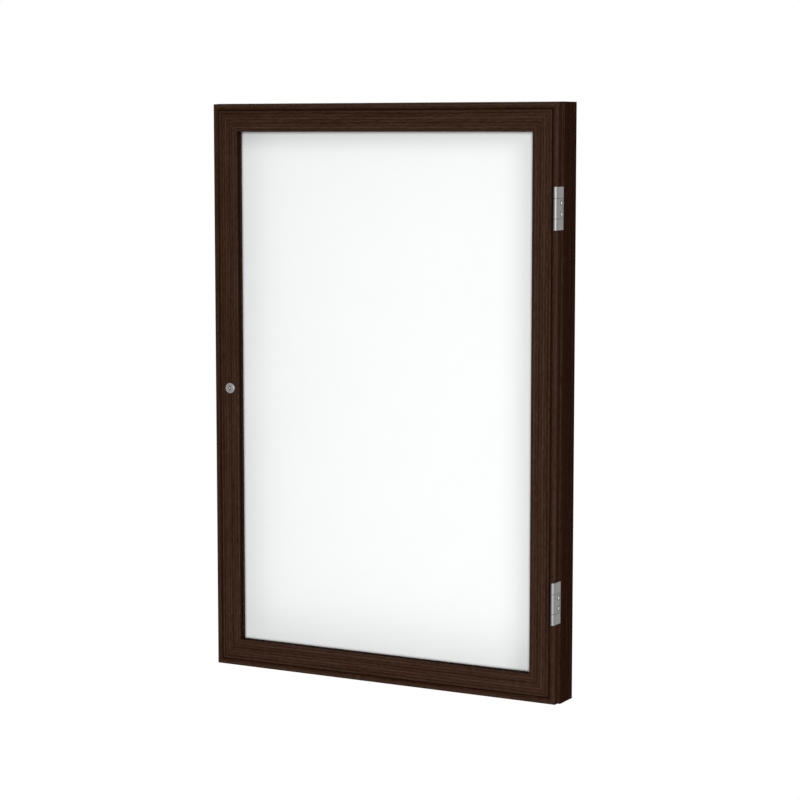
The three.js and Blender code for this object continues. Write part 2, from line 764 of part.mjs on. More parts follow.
function lockBody() {
  const bore = lockPlugRadius + plugFit;
  const roundedRim = Array.from({ length: arcSteps + 1 }, (_, i) => {
    const angle = i / arcSteps * Math.PI / 2;
    return [
      lockFlangeRadius - lockFlangeRound * (1 - Math.cos(angle)),
      flangeFront - lockFlangeRound * (1 - Math.sin(angle)),
    ];
  });
  return turned([
    [bore, lockRear],
    [lockBodyRadius, lockRear],
    [lockBodyRadius, flangeBack],
    [lockFlangeRadius, flangeBack],
    ...roundedRim,
    [bore, flangeFront],
  ], arcSteps * 8);
}

// The plug: a round barrel with the keyway in front, and behind it a square tail with a tapped hole
function lockPlug() {
  const floor = plugFront - keywayDepth;
  const top = plugFront + cutOverrun;
  const halfSlot = keySlotWidth / 2;
  const halfTail = tailSide / 2;
  const tailEnd = doorRearY - camRearY;
  const barrel = rod(lockPlugRadius, lockRear, plugFront, arcSteps * 8);
  const tail = block([-halfTail, -halfTail, tailEnd], [halfTail, halfTail, lockRear + cutOverrun]);
  const ring = turned([
    [keyPostRadius, floor],
    [keywayRadius, floor],
    [keywayRadius, top],
    [keyPostRadius, top],
  ]);
  const upper = block([-halfSlot, keyPostRadius, floor], [halfSlot, keySlotRise, top]);
  const lower = block([-halfSlot, -keySlotDrop, floor], [halfSlot, -keyPostRadius, top]);
  const thread = rod(camScrewShankRadius + screwFit, tailEnd - cutOverrun, tailEnd + camScrewLength);
  return cut(join([barrel, tail]), [ring, upper, lower, thread]);
}

function lockNut() {
  const hexagon = outline(Array.from({ length: 6 }, (_, i) => {
    const angle = i * Math.PI / 3;
    return [nutCornerRadius * Math.cos(angle), nutCornerRadius * Math.sin(angle)];
  }));
  roundHole(hexagon, 0, 0, lockBodyRadius + screwFit);
  return extrude(hexagon, nutThickness, arcSteps * 6);
}

function lockWasher() {
  const hole = lockBodyRadius + screwFit;
  return turned([[hole, 0], [washerRadius, 0], [washerRadius, washerThickness], [hole, washerThickness]]);
}

// The cam hangs down from the plug's square tail
function lockCam() {
  const halfWidth = camWidth / 2;
  const halfHole = tailSide / 2 + plugFit;
  return extrude(outline(
    rectangle(-halfWidth, halfWidth, -camReach, lockPlugRadius, halfWidth / 2),
    [rectangle(-halfHole, halfHole, -halfHole, halfHole)],
  ), camThickness);
}

function buildLock(door, plug) {
  const place = (name, geometry, z, finish, parent) => {
    piece(name, geometry.rotateX(Math.PI / 2), finish, parent)
      .position.set(lockX - doorCentreX, -z, 0);
  };
  const washerRear = -seatGap - washerThickness;
  const tailEnd = doorRearY - camRearY;
  place('lock_body', lockBody(), 0, 'castZinc', door);
  place('lock_washer', lockWasher(), washerRear, 'zincSteel', door);
  place('lock_nut', lockNut(), washerRear - seatGap - nutThickness, 'zincSteel', door);
  place('lock_plug', lockPlug(), 0, 'castZinc', plug);
  place('lock_cam', lockCam(), tailEnd, 'zincSteel', plug);
  const screw = panHeadScrew(
    camScrewHeadRadius, camScrewHeadThickness, camScrewShankRadius, camScrewLength - seatGap * 2,
  ).rotateX(Math.PI);
  place('cam_screw', screw, tailEnd - seatGap, 'zincSteel', plug);
}

// Assembly: the cabinet stays on the wall, the door swings on the hinges, the plug turns in the door
const cabinet = new THREE.Group();
const door = new THREE.Group();
const plug = new THREE.Group();
door.position.set(doorCentreX, doorRearY, 0);
noticeBoard.add(cabinet, door);
door.add(plug);

buildCabinetBars(cabinet);
buildKeys(
  'cabinet_corner_key',
  cabinet,
  [cabinetWidth, cabinetHeight],
  cabinetWall + panelFit,
  chamberDepth - cabinetDepth - cabinetWall - panelFit,
  cornerKey(
    cabinetKeyReach,
    chamberWidth - (cabinetWall + panelFit) * 2,
    chamberDepth - (cabinetWall + panelFit) * 2,
    stakeHoleRadius,
  ),
);
buildWritingBoard(cabinet);
buildKeeper(cabinet);
buildBuffers(cabinet);
buildDoorBars(door);
buildKeys(
  'door_corner_key',
  door,
  [doorWidth, doorHeight],
  doorWall + panelFit,
  -doorWall - panelFit,
  cornerKey(
    doorKeyReach,
    doorKeyWidth,
    doorDepth - doorFrontWall - doorWall - panelFit * 2,
    stakeHoleRadius,
  ),
);
buildGlazing(door);
buildHinges(cabinet, door);
buildLock(door, plug);

export default noticeBoard;
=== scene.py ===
import math

import bmesh
import bpy
import numpy as np
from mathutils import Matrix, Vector


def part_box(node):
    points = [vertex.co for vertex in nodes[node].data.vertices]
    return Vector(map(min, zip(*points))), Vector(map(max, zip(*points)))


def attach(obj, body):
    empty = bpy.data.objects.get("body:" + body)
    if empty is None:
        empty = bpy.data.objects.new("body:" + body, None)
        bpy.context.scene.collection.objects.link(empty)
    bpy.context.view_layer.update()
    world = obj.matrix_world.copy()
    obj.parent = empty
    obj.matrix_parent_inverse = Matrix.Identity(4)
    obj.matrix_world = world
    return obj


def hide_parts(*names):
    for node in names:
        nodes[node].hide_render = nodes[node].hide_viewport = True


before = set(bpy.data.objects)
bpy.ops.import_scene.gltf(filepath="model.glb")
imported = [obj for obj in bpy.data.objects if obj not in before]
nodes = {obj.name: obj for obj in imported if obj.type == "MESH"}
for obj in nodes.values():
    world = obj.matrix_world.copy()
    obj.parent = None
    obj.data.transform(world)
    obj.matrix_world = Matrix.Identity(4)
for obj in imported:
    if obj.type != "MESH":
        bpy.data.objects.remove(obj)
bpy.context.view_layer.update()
levels = ("upper", "lower")

# Named lengths are in millimetres, and from the camera on in metres. Waves of noise are per millimetre.
mm = 0.001

# Cabinet frame: four hollow aluminium extrusions with mitred corners, wrapped in a dark wood-grain film
# whose grain runs along each bar. Corner keys inside the hollows hold them together.

flat_fold = math.radians(0.3)
soft_fold = math.radians(32)
corner_decimals = 6
rounding_segments = 2
bar_edge = 0.15
door_sheen = 0.03
cabinet_sheen = 0.004
seed_step = 13.7
noise_middle = 0.5

# The film's lines, and the noises that disturb them. Each noise has its waves per millimetre across and
# along the bar, what it adds to the seed, its detail, its roughness and how far it reaches.
line_pitch = 4.87
first_line = 13.05
pale_line = 22.8
pale_every = 3
fine_reach = 0.5
pale_reach = 0.28
middle_tone = 0.45
wide_wander = dict(across=0.03, along=0.004, shift=0.0, detail=2.0, roughness=0.5, reach=2.0)
close_wander = dict(across=0.2, along=0.02, shift=5.2, detail=2.0, roughness=0.5, reach=1.0)
drifts = dict(across=0.22, along=0.007, shift=11.4, detail=1.0, roughness=0.5, reach=1.2)
streaks = dict(across=0.8, along=0.016, shift=3.1, detail=3.0, roughness=0.6, reach=2.6)
dashes = dict(across=0.7, along=0.11, shift=16.3, detail=1.0, roughness=0.5, reach=2.4)
pores = dict(across=2.4, along=0.07, shift=7.7, detail=2.0, roughness=0.6, reach=2.6)
lowest_tone = -1.0
highest_tone = 2.0

# The bar's sides, and the bead and the groove of the door's bars. Depths are behind the face, and the other
# places are distances in from the frame's outer edge. The sides and the groove are painted darker as shade.
side_painted_shade = 1.3
side_shade_start = 0.5
side_shade_full = 1.6
groove_edge = 9.4
groove_lead = 0.6
groove_width = 2.2
groove_fade = 0.4
groove_shade_start = 0.6
groove_shade_full = 1.0
crown_tone = 0.7
bead_crown = 2.5
bead_reach = 5.2
bead_fade = 0.3
bead_depth = 2.0
bead_depth_fade = 1.0

# Places of sockets on their nodes: outputs of Texture Coordinate, Attribute and Layer Weight, then the
# colours of Mix, two that go in and one that comes out.
object_point = 3
attribute_share = 2
facing = 1
mix_first = 6
mix_second = 7
mix_colour = 2


class Signal:
    """A shader socket. Arithmetic on it adds Math nodes to the finish that it belongs to."""

    def __init__(self, finish, socket):
        self.finish = finish
        self.socket = socket

    def __add__(self, other):
        return self.finish.math("ADD", self, other)

    def __sub__(self, other):
        return self.finish.math("SUBTRACT", self, other)

    def __rsub__(self, other):
        return self.finish.math("SUBTRACT", other, self)

    def __mul__(self, other):
        return self.finish.math("MULTIPLY", self, other)

    def __pow__(self, other):
        return self.finish.math("POWER", self, other)

    def __abs__(self):
        return self.finish.math("ABSOLUTE", self)

    __radd__ = __add__
    __rmul__ = __mul__


class Finish:
    """A procedural material: a Principled shader, and the nodes that vary it over the surface."""

    def __init__(self, name, constants):
        self.material = bpy.data.materials.new(name)
        self.material.use_nodes = True
        self.tree = self.material.node_tree
        self.shader = self.tree.nodes["Principled BSDF"]
        self.output = self.tree.nodes["Material Output"]
        for key, value in constants.items():
            self.shader.inputs[key].default_value = value

    def node(self, kind, settings, sockets, output=0):
        """Adds a node: its settings first, then the value or link of each socket."""
        node = self.tree.nodes.new("ShaderNode" + kind)
        for key, value in settings.items():
            if key == "stops":
                ramp = node.color_ramp.elements
                while len(ramp) < len(value):
                    ramp.new(1)
                for element, (position, colour) in zip(ramp, value):
                    element.position = position
                    element.color = colour
            else:
                setattr(node, key, value)
        for key, value in sockets.items():
            self.feed(node.inputs[key], value)
        return Signal(self, node.outputs[output])

    def feed(self, socket, value):
        """Links a signal to a socket, or sets its value."""
        if isinstance(value, Signal):
            self.tree.links.new(value.socket, socket)
        else:
            socket.default_value = value

    def math(self, operation, *values):
        """One Math node."""
        return self.node("Math", {"operation": operation}, dict(enumerate(values)))

    def length(self, first, second):
        """How long two sides at a right angle are together: the root of the sum of their squares."""
        return self.math("SQRT", first ** 2.0 + second ** 2.0)

    def place(self):
        """The point on the object in millimetres, as three signals."""
        point = self.node("TexCoord", {}, {}, object_point)
        scaled = self.node("VectorMath", {"operation": "SCALE"}, {0: point, "Scale": 1 / mm})
        split = self.node("SeparateXYZ", {}, {0: scaled})
        return [Signal(self, split.socket.node.outputs[axis]) for axis in range(3)]

    def noise(self, x, y, z, detail=2.0, roughness=0.5):
        """Noise from 0 to 1 at a point that is given in waves of the noise."""
        point = self.node("CombineXYZ", {}, {0: x, 1: y, 2: z})
        return self.node("TexNoise", {}, {
            "Vector": point, "Scale": 1.0, "Detail": detail, "Roughness": roughness,
        })

    def speckle(self, waves, detail=2.0, roughness=0.5):
        """Noise over the whole object, with so many waves per millimetre along X, Y and Z."""
        return self.noise(*[axis * rate for axis, rate in zip(self.place(), waves)], detail, roughness)

    def between(self, low, high, value):
        """0 at low, 1 at high, smooth in between and flat beyond them. Low may be the larger of the two."""
        return self.node("MapRange", {"interpolation_type": "SMOOTHSTEP"}, {
            "Value": value, "From Min": low, "From Max": high,
        })

    def near(self, core, reach, distance):
        """1 where a distance is under core to either side, and 0 beyond reach."""
        return self.between(reach, core, abs(distance))

    def span(self, low, high, share):
        """From low to high with the share."""
        return share * (high - low) + low

    def blend(self, share, first, second):
        """A colour that goes from the first to the second with the share."""
        sockets = {0: share, mix_first: first, mix_second: second}
        return self.node("Mix", {"data_type": "RGBA"}, sockets, mix_colour)

    def surface(self, colour, bump, bump_depth, roughness=None):
        """Feeds what varies to the shader: its colour, its relief and, unless it is even, its roughness."""
        self.feed(self.shader.inputs["Base Color"], colour)
        normal = self.node("Bump", {}, {"Height": bump, "Distance": bump_depth * mm})
        self.feed(self.shader.inputs["Normal"], normal)
        if roughness is not None:
            self.feed(self.shader.inputs["Roughness"], roughness)


def srgb(red, green, blue):
    """A display colour of 0 to 255 as a linear one: below 0.04 a straight line, above it a power of 2.4."""
    share = np.array([red, green, blue]) / 255
    linear = np.where(share <= 0.04045, share / 12.92, ((share + 0.055) / 1.055) ** 2.4)
    return (*linear.tolist(), 1.0)


def dress(node, finish):
    """Gives a node of the frame its finish."""
    nodes[node].material_slots[0].material = finish.material


def stand_for(node, mesh, body, finish):
    """Puts a finer mesh in a node's place, on the node's body."""
    mesh.materials.append(finish.material)
    piece = bpy.data.objects.new(f"{node}_finished", mesh)
    bpy.context.scene.collection.objects.link(piece)
    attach(piece, body)
    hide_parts(node)
    return piece


def soften(node, body, finish, rounding):
    """A copy of a node with each edge rounded off. Corners within a micrometre of each other become one
    point, triangles that share a plane become one face, and each fold sharper than soft_fold is bevelled."""
    source = nodes[node].data
    points = np.empty(len(source.vertices) * 3)
    source.vertices.foreach_get("co", points)
    corners = np.empty(len(source.loops), int)
    source.loops.foreach_get("vertex_index", corners)
    rounded = np.round(points.reshape(-1, 3), corner_decimals)
    places, index = np.unique(rounded, axis=0, return_inverse=True)
    triangles = index.reshape(-1)[corners].reshape(-1, 3)
    whole = (triangles != np.roll(triangles, 1, 1)).all(1)
    mesh = bpy.data.meshes.new(node)
    mesh.from_pydata(places.tolist(), [], triangles[whole].tolist())
    shape = bmesh.new()
    shape.from_mesh(mesh)
    bmesh.ops.dissolve_limit(shape, angle_limit=flat_fold, verts=shape.verts, edges=shape.edges)
    shape.to_mesh(mesh)
    shape.free()
    mesh.shade_smooth()
    mesh.set_sharp_from_angle(angle=soft_fold)
    piece = stand_for(node, mesh, body, finish)
    edge = piece.modifiers.new("edge_rounding", "BEVEL")
    edge.width = rounding * mm
    edge.segments = rounding_segments
    edge.limit_method = "ANGLE"
    edge.angle_limit = soft_fold
    edge.harden_normals = True


def ruffle(film, value, layers, across, along, seed):
    """Adds noises to a value: for each layer, its noise less the middle of a noise, times its reach. Gives
    the sum, and the noises in a list."""
    noises = []
    for layer in layers:
        place = across * layer["across"], along * layer["along"], seed + layer["shift"]
        noise = film.noise(*place, layer["detail"], layer["roughness"])
        value = value + (noise - noise_middle) * layer["reach"]
        noises.append(noise)
    return value, noises


def grain_finish(name, sheen, upright, half_size, centre, front, seed):
    """Wood-grain film. Its lines are cosines of the distance in from the frame's outer edge less the depth
    behind the face, so that they run along the bar and wrap round its side. Every third one is paler. The
    bead outside the door's groove is palest along its crown, and its tone falls with the square of the
    distance from there. The bar's sides are painted darker than its face as shade, and the door's groove is
    painted dark as shade. Long noises make the lines wander and fade, and shorter ones are dashes and pores.
    The tone is 0 in a dark line and 1 in a pale one."""
    film = Finish(name, {"Specular IOR Level": sheen})
    x, y, z = film.place()
    across, along = (x - centre, z) if upright else (z, x)
    depth = y - front
    inwards = half_size - abs(across)
    line, _ = ruffle(film, inwards - depth, (wide_wander, close_wander), inwards, along, seed)
    fine = film.math("COSINE", (line - first_line) * (2 * math.pi / line_pitch))
    pale = film.math("COSINE", (line - pale_line) * (2 * math.pi / line_pitch / pale_every))
    tone = fine * fine_reach + pale * pale_reach + middle_tone
    on_door = front < cabinet_front
    if on_door:
        bead_tone = crown_tone - ((inwards - bead_crown) * (1 / bead_reach)) ** 2.0
        outside_groove = film.between(groove_edge, groove_edge - bead_fade, inwards)
        on_bead = outside_groove * film.between(bead_depth + bead_depth_fade, bead_depth, depth)
        tone = tone + (bead_tone - tone) * on_bead
    # Painted shade: the film is darker on the bar's sides than on its face.
    tone = tone - film.between(side_shade_start, side_shade_full, depth) * side_painted_shade
    shade, noises = ruffle(film, tone, (drifts, streaks, dashes, pores), line, along, seed)
    _, streak_noise, _, _ = noises
    ramp_share = (shade - lowest_tone) * (1 / (highest_tone - lowest_tone))
    colour = film.node("ValToRGB", {"stops": grain_stops}, {"Fac": ramp_share})
    if on_door:
        groove_start = groove_edge - groove_lead
        groove_end = groove_edge + groove_width
        past_bead = film.between(groove_start, groove_start + groove_fade, inwards)
        before_face = film.between(groove_end, groove_end - groove_fade, inwards)
        deep = film.between(groove_shade_start, groove_shade_full, depth)
        # Painted shade: the door's groove darkens towards its floor.
        colour = film.blend(deep * before_face * past_bead, colour, groove_painted_shade)
    film.surface(colour, bump=shade, bump_depth=0.06, roughness=film.span(0.5, 0.8, streak_noise))
    return film


def grain_bars(prefix, body, sheen, low, high):
    """The four bars of a frame that spans the box from low to high."""
    centre = (low.x + high.x) / 2 / mm
    half_width = (high.x - low.x) / 2 / mm
    half_height = (high.z - low.z) / 2 / mm
    bars = {
        "lock_stile": (True, half_width),
        "top_rail": (False, half_height),
        "hinge_stile": (True, half_width),
        "bottom_rail": (False, half_height),
    }
    for number, (bar, (upright, half_size)) in enumerate(bars.items(), 1 + len(prefix)):
        film = grain_finish(
            f"{prefix}_{bar}_film", sheen, upright, half_size, centre, low.y / mm, number * seed_step,
        )
        soften(f"{prefix}_{bar}", body, film, bar_edge)


grain_colours = (srgb(33, 14, 6), srgb(46, 27, 16), srgb(58, 40, 31), srgb(68, 51, 43))
grain_stops = [(step / (len(grain_colours) - 1), colour) for step, colour in enumerate(grain_colours)]
# The dark colour of the painted shade in the door's groove.
groove_painted_shade = srgb(18, 8, 4)
cabinet_low = Vector(map(min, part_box("cabinet_lock_stile")[0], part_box("cabinet_bottom_rail")[0]))
cabinet_high = Vector(map(max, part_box("cabinet_hinge_stile")[1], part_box("cabinet_top_rail")[1]))
cabinet_front = cabinet_low.y / mm
grain_bars("cabinet", "cabinet", cabinet_sheen, cabinet_low, cabinet_high)

# Corner keys: punched angles of zinc-plated steel, staked inside the hollows across each mitre.
# The plating has a faint bluish bloom and small marks from the press.

corners = ("lock_bottom", "lock_top", "hinge_top", "hinge_bottom")
zinc = Finish("zinc_plate", {"Metallic": 1.0})
bloom = zinc.speckle(waves=(0.25, 0.25, 0.25), detail=3.0)
scratch = zinc.speckle(waves=(1.5, 1.5, 0.2))
zinc.surface(
    colour=zinc.blend(bloom, srgb(150, 151, 148), srgb(182, 184, 186)),
    bump=scratch,
    bump_depth=0.02,
    roughness=zinc.span(0.52, 0.68, scratch),
)
for prefix in ("cabinet", "door"):
    for corner in corners:
        dress(f"{prefix}_corner_key_{corner}", zinc)

# Writing board: a white enamelled steel sheet on a light fibre core, with a hardboard backing panel.
# The three slide into the cabinet's rear channel before its last corner is closed.

speck_share = 0.4

enamel = Finish("white_enamel", {"Specular IOR Level": 0.5})
orange_peel = enamel.speckle(waves=(0.35, 0.35, 0.35))
clouding = enamel.speckle(waves=(0.01, 0.01, 0.01))
enamel.surface(
    colour=enamel.blend(clouding, srgb(247, 249, 248), srgb(249, 251, 250)),
    bump=orange_peel,
    bump_depth=0.01,
    roughness=enamel.span(0.3, 0.4, clouding),
)
dress("white_steel_sheet", enamel)

fibre = Finish("fibre_core", {"Roughness": 0.9, "Specular IOR Level": 0.2})
fibres = fibre.speckle(waves=(0.6, 2.0, 0.6), detail=4.0, roughness=0.7)
fibre_colour = fibre.blend(fibres, srgb(128, 100, 68), srgb(176, 150, 112))
fibre.surface(fibre_colour, bump=fibres, bump_depth=0.2)
dress("board_core", fibre)

hardboard = Finish("hardboard", {"Specular IOR Level": 0.3})
mottle = hardboard.speckle(waves=(0.12, 0.12, 0.12), detail=4.0, roughness=0.6)
specks = hardboard.speckle(waves=(1.1, 1.1, 1.1))
hardboard_tone = mottle * (1 - speck_share) + specks * speck_share
hardboard.surface(
    colour=hardboard.blend(hardboard_tone, srgb(98, 66, 40), srgb(142, 104, 68)),
    bump=specks,
    bump_depth=0.06,
    roughness=hardboard.span(0.6, 0.8, specks),
)
dress("backing_panel", hardboard)

# Keeper plate: a slotted plate of zinc-plated steel on the cabinet's lock side, held by two small pan-head
# screws with a cross recess. The cam turns in behind it.

keeper_edge = 0.15
same_place = 1e-6
screw_columns = 72
head_rows = 26
rows_per_pitch = 7
dome_power = 2.4
recess_depth = 1.0
recess_edge = 0.16
recess_width_share = 0.85
recess_taper_share = 0.35
recess_rise_share = 0.55
recess_shade_gain = 2
rim_shade_start_share = 0.68
rim_shade_fade_share = 0.08
rim_shade_share = 0.9
recess_shade_roughness = 0.6
thread_pitch = 1.1
thread_depth = 0.22
tip_radius_share = 0.55
tip_height_share = 0.4


def closed_rings(name, rings, dirt=None):
    """A closed mesh of a grid of points, (rows, columns, 3). Each row is a ring whose last point joins its
    first. If the first row is a single place, it and the last row are poles, and otherwise the last row
    joins the first. The last argument gives each point a share of painted shade, which becomes an attribute
    of that argument's name."""
    rows, columns, _ = rings.shape
    poles = np.ptp(rings[0], axis=0).max() < same_place * mm
    index = np.arange(rows * columns).reshape(rows, columns)
    points = rings.reshape(-1, 3)
    if poles:
        points = np.concatenate([rings[0, :1], rings[1:-1].reshape(-1, 3), rings[-1, :1]])
        index = np.clip(index - columns + 1, 0, len(points) - 1)
        index[0] = 0
    upper = index[1:] if poles else np.roll(index, -1, 0)
    lower = index[:-1] if poles else index
    quads = np.stack([lower, np.roll(lower, -1, 1), np.roll(upper, -1, 1), upper], -1).reshape(-1, 4)
    faces = quads.tolist()
    if poles:
        faces = (
            quads[:columns, [0, 2, 3]].tolist()
            + quads[columns:-columns].tolist()
            + quads[-columns:, [0, 1, 2]].tolist()
        )
    mesh = bpy.data.meshes.new(name)
    mesh.from_pydata(points.tolist(), [], faces)
    shape = bmesh.new()
    shape.from_mesh(mesh)
    if shape.calc_volume(signed=True) < 0:
        bmesh.ops.reverse_faces(shape, faces=shape.faces)
    shape.to_mesh(mesh)
    shape.free()
    mesh.shade_smooth()
    mesh.set_sharp_from_angle(angle=soft_fold)
    if dirt is not None:
        shares = np.concatenate([dirt[0, :1], dirt[1:-1].reshape(-1), dirt[-1, :1]])
        mesh.attributes.new("dirt", "FLOAT", "POINT").data.foreach_set("value", shares)
    return mesh


def set_upright(right, up, height, origin, outward):
    """Turns local millimetres into metres in the frame: height along outward, right across it, and up along
    Z, or along Y where outward is Z."""
    outward = np.array(outward, float)
    upward = np.array([0.0, 1.0, 0.0] if outward[2] else [0.0, 0.0, 1.0])
    sideways = np.cross(upward, outward)
    local = right[..., None] * sideways + up[..., None] * upward + height[..., None] * outward
    return np.array(origin) + local * mm


def reach_of(node, outward):
    """The box of a node as seen along outward: the middle of its outer face in metres, then its half height
    and its length in millimetres."""
    low, high = (np.array(corner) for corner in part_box(node))
    axis = np.argmax(np.abs(outward))
    middle = (low + high) / 2
    middle[axis] = high[axis] if outward[axis] > 0 else low[axis]
    return middle, (high[2] - low[2]) / 2 / mm, (high[axis] - low[axis]) / mm


def cross_recess(right, up, reach):
    """How deep the driver's recess is at a point: a depth times the larger of two crossed arms. An arm is 1
    well inside its outline and falls to 0 over recess_edge. Its width gets less along it, and the depth gets
    less with the distance from the middle, both in a straight line."""
    def arm(along, across):
        half_width = recess_width_share * reach / 2 * (1 - recess_taper_share * np.abs(along) / reach)
        in_width = np.clip((half_width - np.abs(across)) / recess_edge, 0, 1)
        in_length = np.clip((reach - np.abs(along)) / recess_edge, 0, 1)
        return in_width * in_length
    depth = recess_depth * (1 - recess_rise_share * np.hypot(right, up) / reach)
    return np.maximum(arm(right, up), arm(up, right)) * np.maximum(depth, 0)


def screw(node, body, outward, dome, seat_depth, shank_radius, recess_share):
    """A screw on rings about its axis. The head's top lies below its middle by the dome times a power of the
    share of the radius, and by the recess. Below the rim the head narrows to the shank over seat_depth. The
    shank's radius follows a thread: a triangle wave of the height over the pitch less the share of the turn.
    A blunt cone ends it. Painted shade fills the recess, and a ring of it lies round the head."""
    top, head_radius, length = reach_of(node, outward)
    turn = np.linspace(0, 2 * np.pi, screw_columns, endpoint=False)[None, :]
    head_share = np.linspace(0, 1, head_rows)[:, None]
    head_rings = head_share * head_radius + 0 * turn
    right, up = head_rings * np.cos(turn), head_rings * np.sin(turn)
    recess = cross_recess(right, up, head_radius * recess_share)
    head_height = -dome * head_share ** dome_power - recess
    shank_start = -dome - seat_depth
    shank_end = -length + shank_radius
    shank_rows = int((length - dome) / thread_pitch * rows_per_pitch)
    shank_height = np.linspace(shank_start, shank_end, shank_rows)[:, None]
    wave = np.abs((shank_height / thread_pitch - turn / (2 * np.pi)) % 1 * 2 - 1)
    fade = np.clip((shank_start - shank_height) / thread_pitch, 0, 1)
    shank_rings = shank_radius - thread_depth * wave * fade
    tip_rings = np.array([[tip_radius_share], [0.0]]) * shank_radius + 0 * turn
    tip_height = np.array([[-length + shank_radius * tip_height_share], [-length]]) + 0 * turn
    radii = np.concatenate([head_rings, shank_rings, tip_rings])
    heights = np.concatenate([head_height, shank_height + 0 * turn, tip_height])
    rings = set_upright(radii * np.cos(turn), radii * np.sin(turn), heights, top, outward)
    # Painted shade: dark in the cross recess and in a ring round the rim of the head.
    recess_shade = np.clip(recess / recess_depth * recess_shade_gain, 0, 1)
    rim_shade = np.clip((head_share - rim_shade_start_share) / rim_shade_fade_share, 0, 1) * rim_shade_share
    dirt = np.zeros(radii.shape)
    dirt[:head_rows] = recess_shade + rim_shade
    stand_for(node, closed_rings(node, rings, dirt), body, screw_steel)


screw_steel = Finish("screw_steel", {"Metallic": 1.0})
plating = screw_steel.speckle(waves=(2.0, 2.0, 2.0))
bright = screw_steel.blend(plating, srgb(205, 206, 205), srgb(228, 229, 229))
# The painted shade attribute darkens the colour and roughens the surface.
screw_painted_shade = screw_steel.node("Attribute", {"attribute_name": "dirt"}, {}, attribute_share)
screw_steel.surface(
    colour=screw_steel.blend(screw_painted_shade, bright, srgb(36, 35, 34)),
    bump=plating,
    bump_depth=0.01,
    roughness=screw_steel.span(0.3, 0.4, plating) + screw_painted_shade * recess_shade_roughness,
)

soften("keeper_plate", "cabinet", zinc, keeper_edge)
keeper_screw = {"dome": 0.35, "seat_depth": 0.75, "shank_radius": 1.3, "recess_share": 0.62}
for level in levels:
    screw(f"keeper_screw_{level}", "cabinet", (1, 0, 0), **keeper_screw)

# Door buffers: two discs of soft rubber with a domed face, glued to the cabinet's lock side, that the door
# closes against.

buffer_columns = 64
buffer_rim = 0.35
rim_drop = 0.1
half_way_drop = 0.03


def lathe(profile, columns, origin, outward):
    """Rings about an axis from a profile of radii and heights in millimetres."""
    turn = np.linspace(0, 2 * np.pi, columns, endpoint=False)[None, :]
    radius, height = (np.array(values, float)[:, None] + 0 * turn for values in zip(*profile))
    return set_upright(radius * np.cos(turn), radius * np.sin(turn), height, origin, outward)


def arc(centre_radius, centre_height, size, start, end, steps=7):
    """Points of a profile on a part of a circle, between two angles from the outward radius in degrees."""
    angle = np.radians(np.linspace(start, end, steps))
    return list(zip(centre_radius + size * np.cos(angle), centre_height + size * np.sin(angle)))


rubber = Finish("buffer_rubber", {"Specular IOR Level": 0.3})
bead = rubber.speckle(waves=(4.0, 4.0, 4.0))
rubber.surface(
    colour=rubber.blend(bead, srgb(34, 33, 32), srgb(50, 49, 48)),
    bump=bead,
    bump_depth=0.04,
    roughness=rubber.span(0.7, 0.9, bead),
)
for level in levels:
    node = f"door_buffer_{level}"
    face, radius, thickness = reach_of(node, (0, -1, 0))
    profile = [
        (0, 0),
        (radius / 2, -half_way_drop),
        *arc(radius - buffer_rim, -rim_drop - buffer_rim, buffer_rim, start=90, end=0),
        (radius, -thickness),
        (0, -thickness),
    ]
    mesh = closed_rings(node, lathe(profile, buffer_columns, face, (0, -1, 0)))
    stand_for(node, mesh, "cabinet", rubber)

# Hinges: two extruded leaves each, of satin aluminium brushed along the barrel. The door leaf nests in the
# window of the fixed leaf and is held by oval-head screws. A zinc-plated pin with domed ends joins the
# knuckles. Painted shade darkens the seam round the door leaf, rings round its screws and the crease by the
# barrel.

leaf_edge = 0.3
seam = 0.3
seam_core = 0.18
seam_reach = 0.48
ring_core = 0.21
ring_reach = 0.54
seam_shade_share = 0.7
crease_place = 5.6
crease_core = 0.1
crease_reach = 0.7
crease_share = 0.4
brushing_share = 0.7
shaded_roughness = 0.4
pin_columns = 48
cap_rows = 9
cap_height = 0.4

fixed_low, fixed_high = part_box("upper_hinge_fixed_leaf")
leaf_low, leaf_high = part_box("upper_hinge_door_leaf")
screw_top, screw_radius, _ = reach_of("upper_hinge_leaf_screw_upper", (1, 0, 0))
screw_place = screw_top[1] / mm
hinge_height = (fixed_low.z + fixed_high.z) / 2 / mm
screw_height = screw_top[2] / mm - hinge_height
leaf_half = (leaf_high.z - leaf_low.z) / 2 / mm
leaf_front = leaf_low.y / mm
leaf_rear = leaf_high.y / mm

satin = Finish("satin_aluminium", {"Metallic": 1.0})
_, satin_y, satin_z = satin.place()
brushing = satin.speckle(waves=(9.0, 9.0, 0.12), detail=3.0, roughness=0.6)
patches = satin.speckle(waves=(0.2, 0.2, 0.08))
from_middle = abs(abs(satin_z) - hinge_height)
past_leaf = satin.math("MAXIMUM", from_middle - leaf_half, satin_y - leaf_rear)
from_screw = satin.length(satin_y - screw_place, from_middle - screw_height)
# Painted shade: the seam round the door leaf, rings round its screws and the crease by the barrel.
seam_shade = satin.near(seam_core, seam_reach, past_leaf - seam / 2)
ring_shade = satin.near(ring_core, ring_reach, from_screw - screw_radius - seam)
crease_shade = satin.near(crease_core, crease_reach, satin_y - (leaf_front + crease_place))
seam_or_ring = satin.math("MAXIMUM", seam_shade, ring_shade)
leaf_painted_shade = satin.math("MAXIMUM", seam_or_ring * seam_shade_share, crease_shade * crease_share)
brushed = brushing * brushing_share + patches * (1 - brushing_share)
clean = satin.blend(brushed, srgb(124, 124, 123), srgb(146, 146, 144))
satin.surface(
    colour=satin.blend(leaf_painted_shade, clean, srgb(52, 50, 48)),
    bump=brushing,
    bump_depth=0.03,
    roughness=satin.span(0.45, 0.59, brushing) + leaf_painted_shade * shaded_roughness,
)


